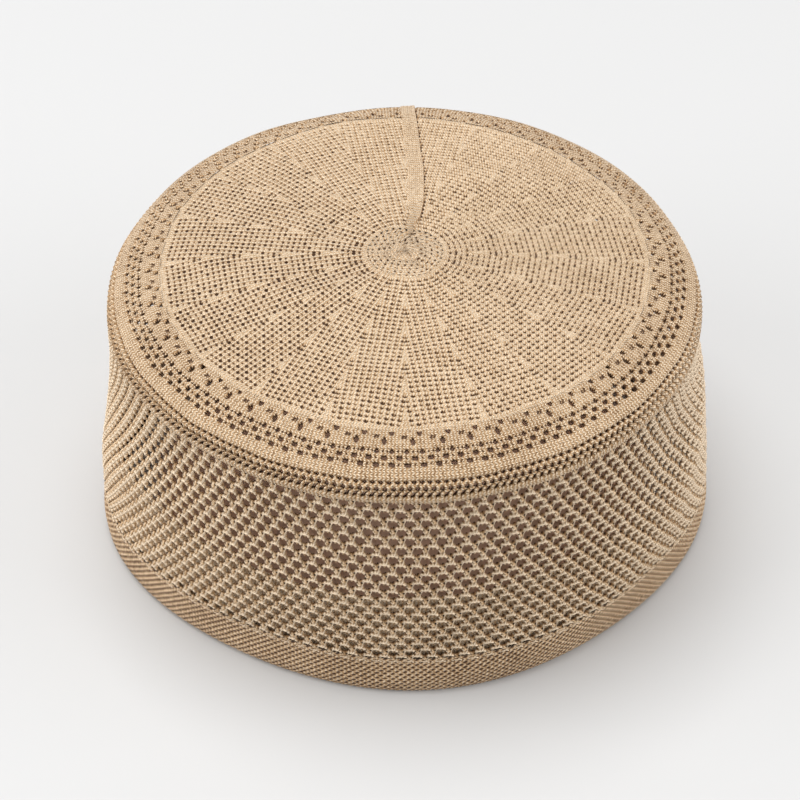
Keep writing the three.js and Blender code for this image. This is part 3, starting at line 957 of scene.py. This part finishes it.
def make_seam():
    """Lapped seam from the gather over the back to the hem: low on its left, proud on its right."""
    rows, columns = 420, 22
    end = profile.at_height(FOLD_HEIGHT)
    section = spline(SEAM_SECTION, columns)

    def place(column, row, lift):
        along = SEAM_START + (end - SEAM_START) * row / (rows - 1)
        edge = seam_edge(along)
        grown = np.clip((along - SEAM_START) / (SEAM_FULL_WIDTH_AT - SEAM_START), 0, 1)
        width = SEAM_NARROW + (SEAM_WIDTH - SEAM_NARROW) * grown
        share = np.interp(column, np.arange(columns), section[:, 0])
        rise = np.interp(column, np.arange(columns), section[:, 1])
        side = edge - width * (1 - share)
        past_ridge = np.clip(np.minimum(along - RIM, SHOULDER_EDGE - along) / 2, 0, 1)
        over = RIDGE_PROUD * past_ridge
        wale = SEAM_WALE_RISE * np.cos(2 * math.pi * share * SEAM_WALES)
        high = SEAM_THICKNESS * rise + wale + over + lift
        radius, height = profile.point(along, high)
        ahead = np.sqrt(np.maximum(radius**2 - side**2, 0.01))
        angle = np.arctan2(ahead, side)
        points = on_cloth(angle, along, high + sag(angle, along))
        stitches = np.stack([along / 1.15, share * SEAM_WALES], -1)
        flat = np.stack([column / (columns - 1), row / (rows - 1)], -1)
        return points, stitches, flat

    shape = (rows, columns)
    return knit_mesh("seam_knit", np.full(shape, 9.0), np.zeros(shape), place, wraps=False)


# Materials
class Nodes:
    """Short names for building a material's nodes."""

    def __init__(self, material):
        self.tree = material.node_tree
        self.tree.nodes.clear()

    def add(self, kind, **settings):
        node = self.tree.nodes.new(kind)
        for name, value in settings.items():
            setattr(node, name, value)
        return node

    def link(self, output, node, name):
        self.tree.links.new(output, node.inputs[name])

    def math(self, operation, *values):
        node = self.add("ShaderNodeMath", operation=operation)
        for index, value in enumerate(values):
            if isinstance(value, (int, float)):
                node.inputs[index].default_value = value
            else:
                self.tree.links.new(value, node.inputs[index])
        return node.outputs[0]


YARN_ROUGHNESS = 0.6
YARN_SHEEN = 0.08
YARN_GLOSS = 0.4
# Tones of the tan yarn, from painted highlight to painted shade
YARN_TONES = [
    # place on the scale from painted highlight on the tops to painted shade in deep hollows, linear
    # colour
    (0.00, (1.000, 0.800, 0.580, 1)),
    (0.25, (0.850, 0.625, 0.400, 1)),
    (0.55, (0.540, 0.335, 0.165, 1)),
    (0.80, (0.240, 0.120, 0.042, 1)),
    (1.00, (0.070, 0.030, 0.012, 1)),
]


def chevrons(n, course, wale):
    """Rows of V stitches: 1 on the tops of the strands, 0 between them."""
    side = n.math("ABSOLUTE", n.math("SUBTRACT", n.math("FRACT", wale), 0.5))
    slanted = n.math("ADD", course, n.math("MULTIPLY", side, 0.9))
    leg = n.math("COSINE", n.math("MULTIPLY", slanted, 2 * math.pi))
    leg = n.math("MULTIPLY_ADD", leg, 0.5, 0.5)
    off = n.math("SUBTRACT", side, 0.25)
    across = n.math("MULTIPLY_ADD", n.math("MULTIPLY", off, off), -13.0, 1.0)
    return n.math("MAXIMUM", n.math("MULTIPLY", leg, across), 0.0)


def net_stitches(n, gap, row):
    """Zigzag strands and pits of the net: 1 on the strands, 0 on the ground, less in a pit; painted as
    highlight and shade.
    """
    odd = n.math("MODULO", n.math("FLOOR", row), 2.0)
    down = n.math("SUBTRACT", n.math("FRACT", row), 0.5)
    moved = n.math("MULTIPLY_ADD", odd, -0.5, n.math("SUBTRACT", gap, NET_PHASE))
    turn = n.math("COSINE", n.math("MULTIPLY", moved, 2 * math.pi))
    share = n.math("MULTIPLY_ADD", turn, -0.5, 0.5)
    opposite = n.math("MULTIPLY_ADD", turn, 0.5, 0.5)
    steep = (NET_ROW / NET_PITCH * ZIGZAG_SWING * ZIGZAG_POWER * 2 * math.pi) ** 2

    def strand(share, offset):
        centre = n.math("POWER", share, ZIGZAG_POWER)
        centre = n.math("MULTIPLY_ADD", centre, ZIGZAG_SWING, ZIGZAG_PEAK)
        slope = n.math("POWER", share, 2 * ZIGZAG_POWER - 1)
        slope = n.math("MULTIPLY", slope, n.math("SUBTRACT", 1.0, share))
        slope = n.math("MULTIPLY_ADD", slope, steep, 1.0)
        gone = n.math("SUBTRACT", n.math("ADD", down, offset), centre)
        gone = n.math("MULTIPLY", n.math("MULTIPLY", gone, gone), (NET_ROW / ZIGZAG_RADIUS) ** 2)
        return n.math("SUBTRACT", 1.0, n.math("DIVIDE", gone, slope))

    top = n.math("MAXIMUM", strand(share, 0.0), strand(opposite, -1.0))
    top = n.math("MAXIMUM", top, strand(opposite, 1.0))
    fine = chevrons(n, n.math("MULTIPLY", gap, 4.0), n.math("MULTIPLY", row, 2.0))
    top = n.math("MAXIMUM", top, n.math("MULTIPLY", fine, 0.45))
    pit_row = n.math("SUBTRACT", row, NET_PIT_ROW)
    row_down = n.math("ADD", n.math("FRACT", pit_row), NET_PIT_ROW)
    odd = n.math("FLOORED_MODULO", n.math("FLOOR", pit_row), 2.0)
    moved = n.math("MULTIPLY_ADD", odd, -0.5, n.math("SUBTRACT", gap, NET_PHASE))
    across = n.math("SUBTRACT", n.math("FRACT", n.math("ADD", moved, 0.5)), 0.5)

    def off_square(place):
        x = n.math("MULTIPLY_ADD", across, NET_PITCH, -place[0])
        y = n.math("MULTIPLY_ADD", n.math("SUBTRACT", row_down, 0.5), NET_ROW, -place[1])
        return n.math("ADD", n.math("MULTIPLY", x, x), n.math("MULTIPLY", y, y))

    # A loop of yarn below each hole, painted lighter as a highlight.
    ring = n.math("SUBTRACT", n.math("SQRT", off_square(NET_LOOP)), NET_LOOP_RADIUS)
    ring = n.math("DIVIDE", ring, NET_LOOP_YARN)
    top = n.math("MAXIMUM", top, n.math("SUBTRACT", 1.0, n.math("MULTIPLY", ring, ring)))
    # Painted shade in the pits: each is darker than the ground round it.
    for place in NET_PITS:
        pit = n.math("MULTIPLY_ADD", off_square(place), -1.3 / NET_PIT_RADIUS**2, 1.3)
        top = n.math("SUBTRACT", top, n.math("MAXIMUM", pit, 0.0))
    return top


def dashes(n, across, row):
    """Staggered rows of slanted dashes: 0 in a dash, 1 away from it; painted as shade in the dashes."""
    odd = n.math("MODULO", n.math("FLOOR", row), 2.0)
    down = n.math("SUBTRACT", n.math("FRACT", row), 0.5)
    moved = n.math("MULTIPLY_ADD", odd, 0.5, across)
    moved = n.math("MULTIPLY_ADD", down, HEM_DASH_SLANT, moved)
    over = n.math("SUBTRACT", n.math("FRACT", moved), 0.5)
    over = n.math("DIVIDE", over, HEM_DASH_SIZE)
    down = n.math("DIVIDE", down, HEM_DASH_SIZE * 1.8)
    off = n.math("ADD", n.math("MULTIPLY", over, over), n.math("MULTIPLY", down, down))
    fine = chevrons(n, n.math("MULTIPLY", across, 2.0), row)
    # Painted shade in the dash pits, painted highlight on the yarn between them.
    light = n.math("MINIMUM", n.math("MULTIPLY", off, off), 1.0)
    return n.math("MULTIPLY", light, n.math("MULTIPLY_ADD", fine, 0.5, 0.4))


def yarn_material(name, stitch=chevrons, stitch_shade=0.7, stitch_light=0.12, stitch_depth=0.6,
                  hollow_from=0.1, hollow_to=1.0, hollow_shade=0.8):
    """Fine knitted yarn: stitches and stray fibres, with painted highlight on the strands' tops and
    painted shade between them and in the hollows.
    """
    material = bpy.data.materials.new(name)
    material.use_nodes = True
    n = Nodes(material)
    stitch_map = n.add("ShaderNodeUVMap", uv_map="stitches")
    split = n.add("ShaderNodeSeparateXYZ")
    n.link(stitch_map.outputs[0], split, 0)
    tops = stitch(n, split.outputs[0], split.outputs[1])
    place = n.add("ShaderNodeTexCoord")
    fibre = n.add("ShaderNodeTexNoise")
    fibre.inputs["Scale"].default_value = 1100.0
    fibre.inputs["Detail"].default_value = 3.0
    n.link(place.outputs["Object"], fibre, "Vector")
    blotch = n.add("ShaderNodeTexNoise")
    blotch.inputs["Scale"].default_value = 60.0
    blotch.inputs["Detail"].default_value = 4.0
    n.link(place.outputs["Object"], blotch, "Vector")
    height = n.math("MULTIPLY", tops, stitch_depth)
    height = n.math("MULTIPLY_ADD", fibre.outputs[0], 0.5, height)
    bump = n.add("ShaderNodeBump")
    bump.inputs["Strength"].default_value = 1.0
    bump.inputs["Distance"].default_value = 0.0011
    n.link(height, bump, "Height")
    # Painted shade in the hollows: the deeper a point lies below the cloth, the darker it is painted.
    hollow = n.add("ShaderNodeAttribute", attribute_name="hollow")
    deep = n.add("ShaderNodeMapRange", interpolation_type="SMOOTHSTEP")
    deep.inputs["From Min"].default_value = hollow_from
    deep.inputs["From Max"].default_value = hollow_to
    deep.inputs["To Max"].default_value = hollow_shade
    n.link(hollow.outputs["Fac"], deep, "Value")
    # Painted shade between the strands and painted highlight on their tops; stitch_light lifts the
    # whole scale towards the highlight.
    shade = n.math("MULTIPLY_ADD", tops, -stitch_shade, stitch_shade - stitch_light)
    shade = n.math("ADD", shade, deep.outputs[0])
    # The yarn's own uneven tone, in blotches and fibres.
    shade = n.math("ADD", shade, n.math("MULTIPLY_ADD", blotch.outputs[0], 0.3, -0.15))
    shade = n.math("ADD", shade, n.math("MULTIPLY_ADD", fibre.outputs[0], 1.0, -0.5))
    ramp = n.add("ShaderNodeValToRGB")
    points = ramp.color_ramp.elements
    for index, (at, color) in enumerate(YARN_TONES):
        point = points[index] if index < 2 else points.new(at)
        point.position = at
        point.color = color
    n.link(shade, ramp, 0)
    shader = n.add("ShaderNodeBsdfPrincipled")
    shader.inputs["Roughness"].default_value = YARN_ROUGHNESS
    shader.inputs["Sheen Weight"].default_value = YARN_SHEEN
    shader.inputs["Sheen Roughness"].default_value = 0.4
    shader.inputs["Specular IOR Level"].default_value = YARN_GLOSS
    n.link(ramp.outputs[0], shader, "Base Color")
    n.link(bump.outputs[0], shader, "Normal")
    output = n.add("ShaderNodeOutputMaterial")
    n.link(shader.outputs[0], output, "Surface")
    return material


def dress(piece, node, material, replaces=True):
    """Gives a piece its material and its body, and hides the solid that it stands for."""
    piece.data.materials.clear()
    piece.data.materials.append(material)
    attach(piece, "root")
    if replaces:
        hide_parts(node)


# Floor and light
FLOOR_SIZE = 6.0
FLOOR_TONE = (0.585, 0.585, 0.585, 1)
# Painted shade under the cap: warm and dim, as the light inside the cap comes through the yarn
PAINTED_SHADE_UNDER_CAP = (0.80, 0.53, 0.39, 1)
PAINTED_SHADE_FROM = 77.0
PAINTED_SHADE_TO = 83.0


def make_floor():
    """A plain pale floor, with warm painted shade where the cap stands over it, for the dim light
    inside the cap that comes through the yarn.
    """
    bpy.ops.mesh.primitive_plane_add(size=FLOOR_SIZE, location=(AXIS_X, AXIS_Y, 0))
    floor = bpy.context.active_object
    floor.name = "floor"
    material = bpy.data.materials.new("floor_with_painted_shade")
    material.use_nodes = True
    shader = material.node_tree.nodes["Principled BSDF"]
    shader.inputs["Roughness"].default_value = 0.7
    shader.inputs["Specular IOR Level"].default_value = 0.2
    nodes, links = material.node_tree.nodes, material.node_tree.links
    place = nodes.new("ShaderNodeTexCoord")
    reach = nodes.new("ShaderNodeVectorMath")
    reach.operation = "LENGTH"
    links.new(place.outputs["Object"], reach.inputs[0])
    # Painted shade inside the cap's footprint, fading out between the two radii
    painted_shade_edge = nodes.new("ShaderNodeMapRange")
    painted_shade_edge.inputs["From Min"].default_value = PAINTED_SHADE_FROM * MM
    painted_shade_edge.inputs["From Max"].default_value = PAINTED_SHADE_TO * MM
    links.new(reach.outputs["Value"], painted_shade_edge.inputs["Value"])
    tone = nodes.new("ShaderNodeMix")
    tone.data_type = "RGBA"
    tone.inputs["A"].default_value = PAINTED_SHADE_UNDER_CAP
    tone.inputs["B"].default_value = FLOOR_TONE
    links.new(painted_shade_edge.outputs[0], tone.inputs["Factor"])
    links.new(tone.outputs["Result"], shader.inputs["Base Color"])
    floor.data.materials.append(material)


def make_light(name, place, aim, size, power, color=(1, 1, 1)):
    """A square soft light at a place, turned to what it lights."""
    data = bpy.data.lights.new(name, "AREA")
    data.shape = "SQUARE"
    data.size = size
    data.energy = power
    data.color = color
    light = bpy.data.objects.new(name, data)
    light.location = place
    light.rotation_euler = (Vector(aim) - Vector(place)).to_track_quat("-Z", "Y").to_euler()
    bpy.context.scene.collection.objects.link(light)


def make_world(strength):
    """Even light from all round."""
    world = bpy.data.worlds.new("room")
    world.use_nodes = True
    world.node_tree.nodes["Background"].inputs["Color"].default_value = (1, 1, 1, 1)
    world.node_tree.nodes["Background"].inputs["Strength"].default_value = strength
    bpy.context.scene.world = world


# Each yarn's stitch_shade, stitch_light and hollow settings set its painted highlight on the strands
# and its painted shade between them and in the hollows.
crown_yarn = yarn_material(
    "crown_yarn", stitch_shade=0.75, stitch_light=0.26,
    hollow_from=0.35, hollow_to=0.75, hollow_shade=0.68)
middle_yarn = yarn_material(
    "middle_yarn", stitch_shade=0.9, stitch_light=0.42,
    hollow_from=0.3, hollow_to=0.65, hollow_shade=0.75)
ring_yarn = yarn_material("ring_yarn", stitch_shade=0.85, stitch_light=0.17)
net_yarn = yarn_material(
    "net_yarn", stitch=net_stitches, stitch_shade=0.85, stitch_light=0.28,
    hollow_from=0.0, hollow_to=1.6, hollow_shade=0.5)
hem_yarn = yarn_material(
    "hem_yarn", stitch=dashes, stitch_shade=1.3, stitch_light=0.12, hollow_shade=0.3)
facing_yarn = yarn_material("facing_yarn", stitch_shade=0.8, stitch_light=0.25, hollow_shade=0.0)
seam_yarn = yarn_material("seam_yarn", stitch_shade=0.75, stitch_light=0.2, hollow_from=0.3)

for net_piece in make_net():
    dress(net_piece, "net_side", net_yarn)
dress(make_ridge(), "ridge_band", ring_yarn)
dress(make_eyelets(), "eyelet_ring", ring_yarn)
dress(make_crown(), "crown_top", crown_yarn)
dress(make_middle(), "crown_top", middle_yarn)
dress(make_hem(), "hem_band", hem_yarn)
dress(make_facing(), "hem_facing", facing_yarn)
dress(make_seam(), "back_seam", seam_yarn)
dress(make_gather(), "crown_gather", middle_yarn)

make_floor()
make_world(0.54)
make_light("key", (-0.20, 0.22, 1.9), (0, 0, 0.05), 1.3, 29)
make_light("left", (-1.4, -0.3, 0.6), (0, 0, 0.05), 1.2, 13)
make_light("right", (1.4, -0.3, 0.6), (0, 0, 0.05), 1.2, 11)
bpy.context.scene.view_settings.view_transform = "Standard"
